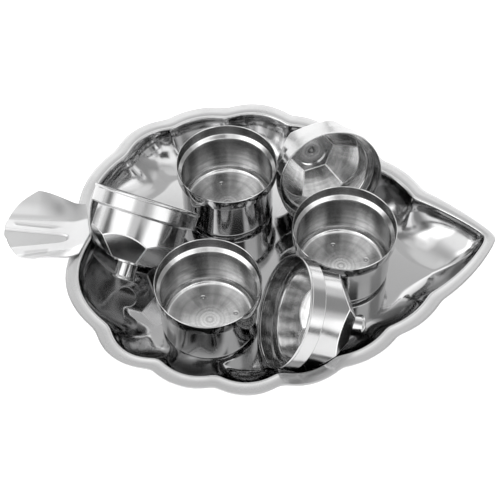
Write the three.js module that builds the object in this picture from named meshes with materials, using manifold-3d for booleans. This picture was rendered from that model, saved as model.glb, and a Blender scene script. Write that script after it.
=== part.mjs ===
// Kumkum plate: a leaf-shaped steel tray with a fan handle, three small cups and their three lids.
// Millimetres, +Z up. +X runs along the leaf from the handle to the tip, +Y towards its far edge.
// The origin is on the underside of the tray's flat floor, on the leaf's centre line.

import * as THREE from 'three';
import { mergeVertices } from 'three/addons/utils/BufferGeometryUtils.js';
import Module from 'manifold-3d';

const wasm = await Module();
wasm.setup();

// Clearance between pieces that rest on each other
const SEAT_GAP = 0.3;

// Tray
const TRAY_SHEET = 0.8;
const TRAY_DEPTH = 18;
const TIP_X = 125.1;
const TIP_Y = 4.5;
const CUSP_X = -86;
const CUSP_Y = -0.4;
const HALF_WIDTH = 86.9;
const FLANGE_WIDTH = 5.5;
const TIP_FLANGE_SHARE = 0.75;
const CUSP_FLANGE_SHARE = 0.85;
const BEVEL_WIDTH = 2.3;
const BEVEL_DROP = 1.3;
const WALL_RUN = 15;
// Where the wall's foot comes to a point below the leaf's tip
const TIP_FOOT_X = 95.3;
const TIP_FOOT_Y = -5.3;
const WALL_CURVE = 1.5;
const FLUTE_GAIN = 0.8;
// Notches between the lobes of the leaf, on the far (+Y) and the near side: share of the length
// from cusp to tip, share of the half width, and how far the lobe before the notch bulges beyond
// the straight line, in mm. The wall's run at the notch is a share of the full run
const NOTCHES = [
  { run: 0.8, far: [0.059, 0.648, 8.7], near: [0.063, 0.661, 11.0] },
  { run: 1, far: [0.181, 0.911, 5.0], near: [0.196, 0.899, 6.3] },
  { run: 1, far: [0.332, 1.016, 3.6], near: [0.338, 0.999, 4.5] },
  { run: 1, far: [0.502, 0.965, 5.6], near: [0.490, 0.975, 5.1] },
  { run: 1, far: [0.609, 0.839, 2.8], near: [0.624, 0.858, 4.0] },
  { run: 1, far: [0.729, 0.618, 4.5], near: [0.748, 0.653, 3.3] },
  { run: 1, far: [0.827, 0.389, 2.4], near: [0.854, 0.411, 2.5] },
];
const TIP_BULGE = { far: 1.5, near: 2.9 };
const TIP_FOOT_BULGE = { far: -4, near: -0.5 };
const CUSP_RUN_SHARE = 0.4;
const LOBE_STEPS = 6;
const END_STEPS = 11;

// Handle: a pressed fan of sheet on top of the flange
const HANDLE_SHEET = 0.8;
const HANDLE_OVERLAP = 4.8;
const HANDLE_LENGTH = 43.9;
const HANDLE_SHOULDER = { far: 27.2, near: 24.8 };
// The outer edge reaches furthest at this share of the half width, and falls back by a power
const HANDLE_APEX = 0.22;
const HANDLE_EDGE_POWER = { far: 2.5, near: 1.55 };
const HANDLE_ROOT_HALF = { far: 18, near: 10.5 };
const HANDLE_CORNER_HALF = { far: 21.2, near: 19.4 };
const HANDLE_FULLNESS = { far: 0.45, near: 1 };
const HANDLE_VEE = 4.2;
// How far the handle's middle line lies towards the near side once it is past the tray
const HANDLE_SHIFT = 3;
const HANDLE_CLEAR = 5.5;
const HANDLE_ROWS = 16;
const HANDLE_BAND_SHARE = 0.5;
const WING_RISE = { far: 11, near: 9 };
const TONGUE_SHARE = 0.21;
const TONGUE_DEPTH = 0.9;
const TONGUE_RUN = 3;

// Cup
const CUP_RIM_RADIUS = 26;
const CUP_BODY_RADIUS = 24;
const CUP_HEIGHT = 33.5;
const CUP_BAND = 6.4;
const CUP_STEP = 1.6;
const CUP_CORNER = 3.6;
const CUP_WALL = 0.6;
const CUP_SPACING = 21.6;
const CUP_RING_X = 4.2;
const CUP_RING_Y = -2.8;
const CUP_BEARINGS = { cup_back: 114.2, cup_right: -1, cup_front: 236.7 };

// Lid
const LID_WALL = 0.6;
const LID_CLEARANCE = 0.4;
const LID_SKIRT = 8;
const LID_STEP = 1.2;
const LID_BEAD = 0.6;
const LID_BODY_RADIUS = 23.3;
const LID_FACET_START = 20;
const LID_HEIGHT = 32.5;
const LID_COLLAR_RADIUS = 9;
const LID_COLLAR_HEIGHT = 0.9;
const FACETS = 6;

// Knob
const KNOB_RADIUS = 5.3;
const KNOB_LIP = 0.5;
const KNOB_LENGTH = 8.6;
const KNOB_WALL = 0.6;

// How each lid lies in the tray: where its opening's centre is, the bearing and the dip of its
// knob end, and how far the lid is turned about its own axis, in degrees
const LID_PLACES = {
  left: { x: -51.8, y: 12.2, bearing: -109.8, dip: 35.8, turn: 28 },
  back: { x: 40.45, y: 29.85, bearing: 108.5, dip: 19.6, turn: -5 },
  front: { x: 17.12, y: -51.86, bearing: 6.8, dip: 26.2, turn: -10 },
};

const ROUND_STEPS = 40;
const KNOB_STEPS = 20;

const degrees = (angle) => THREE.MathUtils.degToRad(angle);
const smooth = (value, low, high) => THREE.MathUtils.smoothstep(value, low, high);

// Closed bodies

function weld(geometry) {
  geometry.deleteAttribute('normal');
  geometry.deleteAttribute('uv');
  const merged = mergeVertices(geometry, 1e-5);
  const kept = [];
  const index = merged.index.array;
  for (let i = 0; i < index.length; i += 3) {
    const [a, b, c] = [index[i], index[i + 1], index[i + 2]];
    if (a !== b && b !== c && c !== a) kept.push(a, b, c);
  }
  merged.setIndex(kept);
  return signedVolume(merged) < 0 ? turnInsideOut(merged) : merged;
}

function signedVolume(geometry) {
  const place = geometry.attributes.position;
  const index = geometry.index.array;
  const [a, b, c] = [new THREE.Vector3(), new THREE.Vector3(), new THREE.Vector3()];
  let volume = 0;
  for (let i = 0; i < index.length; i += 3) {
    a.fromBufferAttribute(place, index[i]);
    b.fromBufferAttribute(place, index[i + 1]);
    c.fromBufferAttribute(place, index[i + 2]);
    volume += a.dot(b.cross(c)) / 6;
  }
  return volume;
}

function turnInsideOut(geometry) {
  const index = [...geometry.index.array];
  for (let i = 0; i < index.length; i += 3) {
    [index[i + 1], index[i + 2]] = [index[i + 2], index[i + 1]];
  }
  geometry.setIndex(index);
  return geometry;
}

function toSolid(geometry) {
  const vertProperties = new Float32Array(geometry.attributes.position.array);
  const triVerts = new Uint32Array(geometry.index.array);
  return new wasm.Manifold(new wasm.Mesh({ numProp: 3, vertProperties, triVerts }));
}

function toGeometry(solid) {
  const mesh = solid.getMesh();
  const geometry = new THREE.BufferGeometry();
  geometry.setAttribute('position', new THREE.BufferAttribute(new Float32Array(mesh.vertProperties), 3));
  geometry.setIndex([...mesh.triVerts]);
  return geometry;
}

function revolve(profile, steps) {
  const geometry = new THREE.LatheGeometry(profile.map(([r, z]) => new THREE.Vector2(r, z)), steps);
  geometry.rotateX(Math.PI / 2);
  return weld(geometry);
}

// Joins rings of equal length into one skin, with a fan from a middle point at each end
function loft(firstMiddle, rings, lastMiddle) {
  const count = rings[0].length;
  const points = [firstMiddle, ...rings.flat(), lastMiddle];
  const index = [];
  const at = (ring, step) => 1 + ring * count + (step % count);
  for (let step = 0; step < count; step += 1) {
    index.push(0, at(0, step + 1), at(0, step));
    for (let ring = 0; ring + 1 < rings.length; ring += 1) {
      index.push(at(ring, step), at(ring, step + 1), at(ring + 1, step + 1));
      index.push(at(ring, step), at(ring + 1, step + 1), at(ring + 1, step));
    }
    index.push(points.length - 1, at(rings.length - 1, step), at(rings.length - 1, step + 1));
  }
  const geometry = new THREE.BufferGeometry().setFromPoints(points);
  geometry.setIndex(index);
  return weld(geometry);
}

// Leaf outline

const FLIP = { far: 1, near: -1 };

// Corner points of one side of the leaf, measured outwards, drawn in from the edge as far as a
// ring of the tray asks
function leafCorners(ring, side) {
  const length = TIP_X - CUSP_X;
  const outer = NOTCHES.map((notch) => {
    const [along, out] = notch[side];
    return new THREE.Vector2(CUSP_X + along * length, out * HALF_WIDTH);
  });
  const cusp = new THREE.Vector2(CUSP_X, CUSP_Y * FLIP[side]);
  const tip = new THREE.Vector2(TIP_X, TIP_Y * FLIP[side]);
  const line = [cusp, ...outer, tip];
  const corners = outer.map((point, i) => {
    const chord = line[i + 2].clone().sub(line[i]).normalize();
    const inset = ring.flange + ring.run * WALL_RUN * NOTCHES[i].run;
    return point.clone().add(new THREE.Vector2(chord.y, -chord.x).multiplyScalar(inset));
  });
  cusp.x += ring.flange * CUSP_FLANGE_SHARE + ring.run * WALL_RUN * CUSP_RUN_SHARE;
  tip.x -= ring.flange * TIP_FLANGE_SHARE;
  tip.lerp(new THREE.Vector2(TIP_FOOT_X, TIP_FOOT_Y * FLIP[side]), ring.run);
  return [cusp, ...corners, tip];
}

// One side of the contour, from the cusp up to the tip: lobes bulge between the corner points
function leafSide(ring, side) {
  const corners = leafCorners(ring, side);
  const lastBulge = THREE.MathUtils.lerp(TIP_BULGE[side], TIP_FOOT_BULGE[side], ring.run);
  const bulges = [...NOTCHES.map((notch) => notch[side][2]), lastBulge];
  const points = [];
  bulges.forEach((bulge, i) => {
    const [start, end] = [corners[i], corners[i + 1]];
    const chord = end.clone().sub(start);
    const outward = new THREE.Vector2(-chord.y, chord.x).normalize();
    const atEnd = i === 0 || i === bulges.length - 1;
    const steps = atEnd ? END_STEPS : LOBE_STEPS;
    for (let step = 0; step < steps; step += 1) {
      const share = step / steps;
      const rise = 4 * share * (1 - share) * bulge * ring.bulge;
      points.push(start.clone().addScaledVector(chord, share).addScaledVector(outward, rise));
    }
  });
  points.push(corners[corners.length - 1]);
  return points.map((point) => new THREE.Vector2(point.x, point.y * FLIP[side]));
}

// Closed contour round the leaf
function leafContour(ring) {
  const far = leafSide(ring, 'far');
  const near = leafSide(ring, 'near').slice(1, -1).reverse();
  const flat = [...far, ...near];
  roundTip(flat, far.length - 1);
  return flat.map((point) => new THREE.Vector3(point.x, point.y, ring.height));
}

function roundTip(points, tipIndex) {
  const [before, tip, after] = [points[tipIndex - 1], points[tipIndex], points[tipIndex + 1]];
  tip.multiplyScalar(0.5).addScaledVector(before, 0.25).addScaledVector(after, 0.25);
}

// Tray

const FLANGE_TOP = TRAY_SHEET + TRAY_DEPTH;

// Rings of the tray's upper face from the outer edge to the foot of the wall: how far each
// is drawn in, its height, and how strongly its lobes bulge
function upperRings() {
  const wallTop = FLANGE_WIDTH + BEVEL_WIDTH;
  const rings = [0, FLANGE_WIDTH].map((flange) => ({ flange, run: 0, height: FLANGE_TOP, bulge: 1 }));
  for (const share of [0, 0.1, 0.3, 0.55, 0.8, 1]) {
    const fall = 1 - (1 - share) ** WALL_CURVE;
    rings.push({
      flange: wallTop,
      run: share ** WALL_CURVE,
      height: FLANGE_TOP - BEVEL_DROP - fall * (TRAY_DEPTH - BEVEL_DROP),
      bulge: 1 + share * (1 - share) * FLUTE_GAIN,
    });
  }
  return rings;
}

// The same ring one sheet thickness below, measured square to the surface
function underRing(rings, i) {
  const ring = rings[i];
  const before = rings[Math.max(0, i - 1)];
  const after = rings[Math.min(rings.length - 1, i + 1)];
  const inwards = after.flange - before.flange + (after.run - before.run) * WALL_RUN;
  const flat = i < 2 || i === rings.length - 1;
  const slope = flat ? 0 : Math.atan2(before.height - after.height, inwards);
  return {
    ...ring,
    flange: ring.flange - TRAY_SHEET * Math.sin(slope),
    height: ring.height - TRAY_SHEET * Math.cos(slope),
  };
}

function leafTray() {
  const rings = upperRings();
  const under = rings.map((ring, i) => leafContour(underRing(rings, i)));
  const upper = rings.map((ring) => leafContour(ring));
  const floorMiddle = new THREE.Vector3(0, 0, TRAY_SHEET);
  const underMiddle = new THREE.Vector3(0, 0, 0);
  return loft(underMiddle, [...under.reverse(), ...upper], floorMiddle);
}

// Handle

const HANDLE_INNER_X = CUSP_X + HANDLE_OVERLAP;
const HANDLE_OUTER_X = HANDLE_INNER_X - HANDLE_LENGTH;
const handleSide = (share) => (share > 0 ? 'far' : 'near');

function handleHeight(x, share) {
  const out = Math.abs(share);
  const side = handleSide(share);
  const edge = -CUSP_X + HANDLE_CLEAR;
  const lift = smooth(-x, -HANDLE_INNER_X, HANDLE_SHOULDER[side] - HANDLE_INNER_X);
  const wing = Math.max(0, out - HANDLE_BAND_SHARE) / (1 - HANDLE_BAND_SHARE);
  const tongueStart = smooth(-x, edge, edge + TONGUE_RUN);
  const tongue = out <= TONGUE_SHARE ? TONGUE_DEPTH * tongueStart : 0;
  return FLANGE_TOP + SEAT_GAP + HANDLE_SHEET - tongue + WING_RISE[side] * wing * lift;
}

function handlePoint(along, share, lower) {
  const side = handleSide(share);
  const innerX = HANDLE_INNER_X - HANDLE_VEE * Math.abs(share);
  const beyond = Math.abs(share - HANDLE_APEX) / (1 - HANDLE_APEX * FLIP[side]);
  const fallBack = HANDLE_LENGTH - HANDLE_SHOULDER[side];
  const outerX = HANDLE_OUTER_X + fallBack * beyond ** HANDLE_EDGE_POWER[side];
  const x = innerX + (outerX - innerX) * along;
  const widen = (HANDLE_INNER_X - x) / HANDLE_SHOULDER[side];
  const root = HANDLE_ROOT_HALF[side];
  const half = root + (HANDLE_CORNER_HALF[side] - root) * widen ** HANDLE_FULLNESS[side];
  const shift = HANDLE_SHIFT * smooth(-x, -HANDLE_INNER_X, -CUSP_X + HANDLE_CLEAR);
  const z = handleHeight(x, share) - (lower ? HANDLE_SHEET : 0);
  return new THREE.Vector3(x, share * half - shift, z);
}

function stemHandle() {
  const edge = TONGUE_SHARE;
  const half = [edge * 0.5, edge, edge + 0.02, 0.36, HANDLE_BAND_SHARE, 0.6, 0.72, 0.86, 1];
  const shares = [...half.slice().reverse().map((share) => -share), 0, ...half];
  const rows = Array.from({ length: HANDLE_ROWS + 1 }, (_, row) => [
    ...shares.map((share) => handlePoint(row / HANDLE_ROWS, share, false)),
    ...shares.slice().reverse().map((share) => handlePoint(row / HANDLE_ROWS, share, true)),
  ]);
  const middle = (row) => row[(shares.length - 1) / 2].clone().setZ(
    row[(shares.length - 1) / 2].z - HANDLE_SHEET / 2);
  return loft(middle(rows[0]), rows, middle(rows[rows.length - 1]));
}

// Cup

function cupProfile() {
  const inner = (radius) => radius - CUP_WALL;
  const bandFoot = CUP_HEIGHT - CUP_BAND;
  const bodyTop = bandFoot - CUP_STEP;
  const corner = [0.25, 0.5, 0.75].map((share) => share * Math.PI / 2);
  const outerCorner = corner.map((turn) => [
    CUP_BODY_RADIUS - CUP_CORNER * (1 - Math.sin(turn)),
    CUP_CORNER * (1 - Math.cos(turn)),
  ]);
  const innerCorner = corner.slice().reverse().map((turn) => [
    CUP_BODY_RADIUS - CUP_CORNER + (CUP_CORNER - CUP_WALL) * Math.sin(turn),
    CUP_CORNER - (CUP_CORNER - CUP_WALL) * Math.cos(turn),
  ]);
  return [
    [0, 0],
    [CUP_BODY_RADIUS - CUP_CORNER, 0],
    ...outerCorner,
    [CUP_BODY_RADIUS, CUP_CORNER],
    [CUP_BODY_RADIUS, bodyTop],
    [CUP_RIM_RADIUS, bandFoot],
    [CUP_RIM_RADIUS, CUP_HEIGHT - CUP_WALL / 2],
    [CUP_RIM_RADIUS - CUP_WALL / 2, CUP_HEIGHT],
    [inner(CUP_RIM_RADIUS), CUP_HEIGHT - CUP_WALL / 2],
    [inner(CUP_RIM_RADIUS), bandFoot + CUP_WALL / 4],
    [inner(CUP_BODY_RADIUS), bodyTop + CUP_WALL / 4],
    [inner(CUP_BODY_RADIUS), CUP_CORNER],
    ...innerCorner,
    [CUP_BODY_RADIUS - CUP_CORNER, CUP_WALL],
    [0, CUP_WALL],
  ];
}

function cupPlace(bearing) {
  const ring = (2 * CUP_RIM_RADIUS + CUP_SPACING) / Math.sqrt(3);
  return new THREE.Vector3(
    CUP_RING_X + ring * Math.cos(degrees(bearing)),
    CUP_RING_Y + ring * Math.sin(degrees(bearing)),
    TRAY_SHEET + SEAT_GAP,
  );
}

// Lid, standing as on its cup: opening at height 0, knob on top

const LID_SKIRT_RADIUS = CUP_RIM_RADIUS + LID_CLEARANCE + LID_WALL;

function lidTurned(wall) {
  const skirt = LID_SKIRT_RADIUS - wall;
  const body = LID_BODY_RADIUS - wall;
  const skirtTop = LID_SKIRT + (wall ? 0 : LID_WALL);
  const rim = wall ? [[0, -1], [skirt, -1]] : [
    [0, 0],
    [skirt + LID_BEAD / 2, 0],
    [skirt + LID_BEAD, LID_BEAD],
    [skirt + LID_BEAD / 2, 2 * LID_BEAD],
    [skirt, 2 * LID_BEAD + LID_BEAD / 2],
  ];
  const top = LID_HEIGHT - wall;
  return revolve([
    ...rim,
    [skirt, skirtTop - LID_STEP / 2],
    [skirt - LID_STEP / 2, skirtTop],
    [body + LID_STEP / 2, skirtTop],
    [body, skirtTop + LID_STEP / 2],
    [body, top],
    [0, top],
  ], ROUND_STEPS);
}

// Six-sided spire at 45 degrees that cuts the round wall into arches
function lidSpire(wall) {
  const shrink = wall * Math.SQRT2;
  const inRadius = (height) => LID_BODY_RADIUS - shrink - (height - LID_FACET_START);
  const corner = (height) => inRadius(height) / Math.cos(Math.PI / FACETS);
  const low = -2;
  const spire = new THREE.LatheGeometry([
    new THREE.Vector2(0, low),
    new THREE.Vector2(corner(low), low),
    new THREE.Vector2(corner(LID_HEIGHT + 1), LID_HEIGHT + 1),
    new THREE.Vector2(0, LID_HEIGHT + 1),
  ], FACETS);
  spire.rotateX(Math.PI / 2);
  return weld(spire);
}

function lidShell() {
  const outside = toSolid(lidTurned(0)).intersect(toSolid(lidSpire(0)));
  const inside = toSolid(lidTurned(LID_WALL)).intersect(toSolid(lidSpire(LID_WALL)));
  const collarTop = LID_HEIGHT + LID_COLLAR_HEIGHT;
  const collar = toSolid(revolve([
    [0, LID_HEIGHT - 2 * LID_WALL],
    [LID_COLLAR_RADIUS, LID_HEIGHT - 2 * LID_WALL],
    [LID_COLLAR_RADIUS, collarTop - LID_WALL / 2],
    [LID_COLLAR_RADIUS - LID_WALL / 2, collarTop],
    [0, collarTop],
  ], ROUND_STEPS));
  const pocket = toSolid(revolve([
    [0, LID_HEIGHT - 3 * LID_WALL],
    [LID_COLLAR_RADIUS - LID_WALL, LID_HEIGHT - 3 * LID_WALL],
    [LID_COLLAR_RADIUS - LID_WALL, collarTop - LID_WALL],
    [0, collarTop - LID_WALL],
  ], ROUND_STEPS));
  return toGeometry(outside.add(collar).subtract(inside).subtract(pocket));
}

// Knob: a drawn cup, open towards the lid, with a small lip round its closed end

function lidKnob() {
  const foot = LID_HEIGHT + LID_COLLAR_HEIGHT + SEAT_GAP;
  const top = foot + KNOB_LENGTH;
  const bore = KNOB_RADIUS - KNOB_WALL;
  return revolve([
    [0, top - KNOB_WALL],
    [bore, top - KNOB_WALL],
    [bore, foot],
    [KNOB_RADIUS, foot],
    [KNOB_RADIUS, top - 3 * KNOB_LIP],
    [KNOB_RADIUS + KNOB_LIP, top - 1.6 * KNOB_LIP],
    [KNOB_RADIUS + KNOB_LIP, top - 0.8 * KNOB_LIP],
    [KNOB_RADIUS - KNOB_LIP / 2, top],
    [0, top],
  ], KNOB_STEPS);
}

// Assembly

const finish = (name, colour, roughness) =>
  new THREE.MeshStandardMaterial({ name, color: colour, metalness: 1, roughness });

function piece(name, geometry, material) {
  geometry.computeVertexNormals();
  const mesh = new THREE.Mesh(geometry, material);
  mesh.name = name;
  return mesh;
}

// Turns a lid and its knob to the way they lie and lowers them onto the tray's floor
function lyingLid(name, place) {
  const turn = new THREE.Group();
  turn.add(piece(`lid_${name}`, lidShell(), finish('bright_lid', 0xd2d3d4, 0.12)));
  turn.add(piece(`knob_${name}`, lidKnob(), finish('bright_knob', 0xd6d7d8, 0.08)));
  turn.rotation.z = degrees(place.turn);
  const tilt = new THREE.Group();
  tilt.add(turn);
  tilt.rotation.y = degrees(90 + place.dip);
  const bearing = new THREE.Group();
  bearing.add(tilt);
  bearing.rotation.z = degrees(place.bearing);
  bearing.updateMatrixWorld(true);
  const lowest = new THREE.Box3().setFromObject(bearing, true).min.z;
  bearing.position.set(place.x, place.y, TRAY_SHEET + SEAT_GAP - lowest);
  return bearing;
}

const plate = new THREE.Group();
plate.add(piece('leaf_tray', leafTray(), finish('mirror_tray', 0xd8d9da, 0.06)));
plate.add(piece('stem_handle', stemHandle(), finish('mirror_handle', 0xd8d9da, 0.1)));

for (const [name, bearing] of Object.entries(CUP_BEARINGS)) {
  const cup = piece(name, revolve(cupProfile(), ROUND_STEPS), finish('spun_cup', 0xc9cacb, 0.2));
  cup.position.copy(cupPlace(bearing));
  plate.add(cup);
}

for (const [name, place] of Object.entries(LID_PLACES)) {
  plate.add(lyingLid(name, place));
}

plate.updateMatrixWorld(true);

export default plate;
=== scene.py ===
# %% [markdown]
# A kumkum plate is a small steel serving set: a leaf-shaped tray with a fan handle, three cups
# and three lids. The lids were taken off and lie among the cups. The solids come from the
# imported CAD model. This file dresses them: each piece is drawn again with a finer, softer
# sheet, because polished steel shows every facet in its reflections.

import math

import bmesh
import bpy
from mathutils import Matrix, Vector


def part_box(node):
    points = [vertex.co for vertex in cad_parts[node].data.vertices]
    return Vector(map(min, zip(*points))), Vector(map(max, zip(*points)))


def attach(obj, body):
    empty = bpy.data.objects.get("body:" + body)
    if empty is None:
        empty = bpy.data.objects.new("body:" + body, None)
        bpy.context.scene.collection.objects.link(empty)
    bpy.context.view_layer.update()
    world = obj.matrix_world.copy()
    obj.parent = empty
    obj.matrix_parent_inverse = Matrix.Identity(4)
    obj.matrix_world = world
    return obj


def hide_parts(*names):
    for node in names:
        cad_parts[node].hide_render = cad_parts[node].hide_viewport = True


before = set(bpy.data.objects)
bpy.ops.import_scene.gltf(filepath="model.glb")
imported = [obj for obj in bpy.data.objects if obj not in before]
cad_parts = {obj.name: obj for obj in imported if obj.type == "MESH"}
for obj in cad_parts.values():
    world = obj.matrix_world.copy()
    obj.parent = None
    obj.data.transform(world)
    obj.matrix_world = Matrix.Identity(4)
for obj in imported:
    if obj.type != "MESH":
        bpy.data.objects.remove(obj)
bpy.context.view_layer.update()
MM = 0.001

# %% [markdown]
# The camera comes first. The photograph looks down on the plate at 54 degrees from straight in
# front, through a long lens. The three cup rims are true circles, so the way they flatten gave
# the angle and the lens. A camera could be aimed with a tracking constraint, but this one also
# rolls a third of a degree, so its matrix is worked out from the eye, the aim and the roll.

# %% Camera
EYE = Vector((12.98, -377.14, 525.89)) * MM
AIM = Vector((0, -7.46, 18.8)) * MM
ROLL = math.radians(-0.32)
LENS, SENSOR = 90, 36

ahead = (AIM - EYE).normalized()
level = ahead.cross(Vector((0, 0, 1))).normalized()
down = ahead.cross(level)
right = level * math.cos(ROLL) - down * math.sin(ROLL)
up = -(level * math.sin(ROLL) + down * math.cos(ROLL))

camera_data = bpy.data.cameras.new("camera")
camera_data.sensor_width = SENSOR
camera_data.lens = LENS
camera = bpy.data.objects.new("camera", camera_data)
camera.matrix_world = Matrix((right, up, -ahead)).transposed().to_4x4()
camera.matrix_world.translation = EYE
bpy.context.scene.collection.objects.link(camera)
bpy.context.scene.camera = camera
print("camera distance, mm:", round((AIM - EYE).length / MM))

# %% [markdown]
# Every piece is a bmesh that becomes an object at the origin. The helper names the piece, says
# which body carries it and which CAD node it stands for, and marks hard edges by their angle.
# A sheet could be drawn with both its sides. Here only the upper side is drawn, and a Solidify
# modifier adds the thickness, as a press keeps a sheet equally thick all over. Before that the
# faces are turned outwards, by a look at the highest one, because recalculated normals of an
# open sheet can all point down, and the thickness would then grow upwards.

# %% Helpers: from bmesh to a piece
MERGE = 0.002 * MM


def face_outwards(bm):
    bmesh.ops.recalc_face_normals(bm, faces=bm.faces[:])
    top = max(bm.faces, key=lambda f: f.calc_center_median().z)
    if top.normal.z < 0:
        bmesh.ops.reverse_faces(bm, faces=bm.faces[:])


def finish_piece(bm, name, body, node, materials, hard_angle, thickness=0):
    bmesh.ops.remove_doubles(bm, verts=bm.verts[:], dist=MERGE)
    mesh = bpy.data.meshes.new(name)
    bm.to_mesh(mesh)
    bm.free()
    for material in materials:
        mesh.materials.append(material)
    mesh.shade_smooth()
    mesh.set_sharp_from_angle(angle=math.radians(hard_angle))
    piece = bpy.data.objects.new(name, mesh)
    bpy.context.scene.collection.objects.link(piece)
    if thickness:
        wall = piece.modifiers.new("sheet", "SOLIDIFY")
        wall.thickness = thickness
        wall.offset = -1
        wall.use_even_offset = True
    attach(piece, body)
    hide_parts(node)
    print(name, "faces:", len(mesh.polygons))
    return piece


print("points closer than", MERGE / MM, "mm are merged")


# %% [markdown]
# The steel comes next. All of it is the same stainless steel. What differs is how the surface
# was worked: the tray and the outsides are buffed to a mirror, the handle is buffed lightly, and
# the insides of the cups and lids keep the fine rings of the spinning lathe. Painted pictures
# could show this, but noise worked out at each point stays sharp at any distance and needs no
# file. The helpers make a node group, put a node into a tree with its values and links, reckon
# with two or three numbers, and make a ramp from one pair of values to another.


# %% Node helpers
def new_group(name, inputs, outputs):
    group = bpy.data.node_groups.new(name, "ShaderNodeTree")
    for label, kind, value in inputs:
        socket = group.interface.new_socket(name=label, in_out="INPUT", socket_type=kind)
        if value is not None:
            socket.default_value = value
    for label, kind in outputs:
        group.interface.new_socket(name=label, in_out="OUTPUT", socket_type=kind)
    source = group.nodes.new("NodeGroupInput")
    sink = group.nodes.new("NodeGroupOutput")
    return group, source, sink


def put(tree, kind, links=(), **settings):
    node = tree.nodes.new(kind)
    for key, value in settings.items():
        if key.startswith("in_"):
            socket = key[3:]
            socket = int(socket) if socket.isdigit() else socket.replace("_", " ")
            node.inputs[socket].default_value = value
        else:
            setattr(node, key, value)
    for socket, source in links:
        tree.links.new(source, node.inputs[socket])
    return node


def reckon(tree, operation, first, second, third=None):
    node = tree.nodes.new("ShaderNodeMath")
    node.operation = operation
    for i, value in enumerate((first, second, third)):
        if value is None:
            continue
        if isinstance(value, (int, float)):
            node.inputs[i].default_value = value
        else:
            tree.links.new(value, node.inputs[i])
    return node.outputs[0]


def ramp(tree, value, start, end, low, high, smooth=False):
    node = put(tree, "ShaderNodeMapRange", [("Value", value)], in_1=start, in_2=end, in_3=low,
               in_4=high)
    if smooth:
        node.interpolation_type = "SMOOTHSTEP"
    return node.outputs[0]


# %% [markdown]
# Buffed sheet is never quite flat. A slow waviness bends the reflections, a finer ripple
# breaks their edges, and hairline scratches and finger smears dull a few places. The waves could
# be modelled, but they are thinner than a hair, so one height for the bump holds them all.

# %% Node group: buffed sheet
RIPPLE_FINENESS, HAIR_HEIGHT, HAIR_STRETCH = 6.0, 0.02, (60, 2600, 400)

buffed, buffed_in, buffed_out = new_group(
    "buffed sheet",
    [("Place", "NodeSocketVector", None), ("Wave scale", "NodeSocketFloat", 40.0),
     ("Ripple", "NodeSocketFloat", 0.12), ("Scratches", "NodeSocketFloat", 0.3)],
    [("Height", "NodeSocketFloat"), ("Smear", "NodeSocketFloat")])
on_sheet = buffed_in.outputs["Place"]
slow = put(buffed, "ShaderNodeTexNoise", [("Vector", on_sheet),
           ("Scale", buffed_in.outputs["Wave scale"])], in_Detail=1.5, in_Roughness=0.4)
ripple_scale = reckon(buffed, "MULTIPLY", buffed_in.outputs["Wave scale"], RIPPLE_FINENESS)
ripple = put(buffed, "ShaderNodeTexNoise", [("Vector", on_sheet), ("Scale", ripple_scale)],
             in_Detail=2.0)
stretch = put(buffed, "ShaderNodeMapping", [("Vector", on_sheet)], in_Rotation=(0, 0, 0.5),
              in_Scale=HAIR_STRETCH)
hair = put(buffed, "ShaderNodeTexNoise", [("Vector", stretch.outputs[0])], in_Scale=1.0,
           in_Detail=3.0)
hair_amount = reckon(buffed, "MULTIPLY", hair.outputs["Fac"], buffed_in.outputs["Scratches"])
small = reckon(buffed, "MULTIPLY_ADD", ripple.outputs["Fac"], buffed_in.outputs["Ripple"],
               slow.outputs["Fac"])
height = reckon(buffed, "MULTIPLY_ADD", hair_amount, HAIR_HEIGHT, small)
fingers = put(buffed, "ShaderNodeTexNoise", [("Vector", on_sheet)], in_Scale=55.0,
              in_Detail=4.0, in_Roughness=0.6)
smear = ramp(buffed, fingers.outputs["Fac"], 0.45, 0.75, 0.0, 1.0)
buffed.links.new(height, buffed_out.inputs["Height"])
buffed.links.new(smear, buffed_out.inputs["Smear"])
print("group:", buffed.name)

# %% [markdown]
# Mirror steel is for all that was buffed. It reads its place on the object, or on the lathe for
# a turned piece. Steel has hardly a colour of its own, so its shade is one grey, a little darker
# and duller under a smear. One function with a few values was chosen over a material drawn by
# hand for each piece, because all of them are the same steel. A further finish can be laid over
# the material: it takes what feeds the shader so far and puts one more node between.

# %% Mirror steel
STEEL = (0.57, 0.57, 0.572)
SMEAR_SHADE, SMEAR_DULLNESS = 0.92, 0.07


def new_steel(name):
    material = bpy.data.materials.new(name)
    material.use_nodes = True
    shader = material.node_tree.nodes["Principled BSDF"]
    shader.inputs["Metallic"].default_value = 1
    print("steel:", name)
    return material, material.node_tree, shader


def feeding(node, label):
    return node.inputs[label].links[0].from_socket


def lay_over(material, amount):
    tree = material.node_tree
    shader = tree.nodes["Principled BSDF"]
    shade = put(tree, "ShaderNodeVectorMath", [(0, feeding(shader, "Base Color")), (1, amount)],
                operation="MULTIPLY")
    tree.links.new(shade.outputs[0], shader.inputs["Base Color"])


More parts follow.
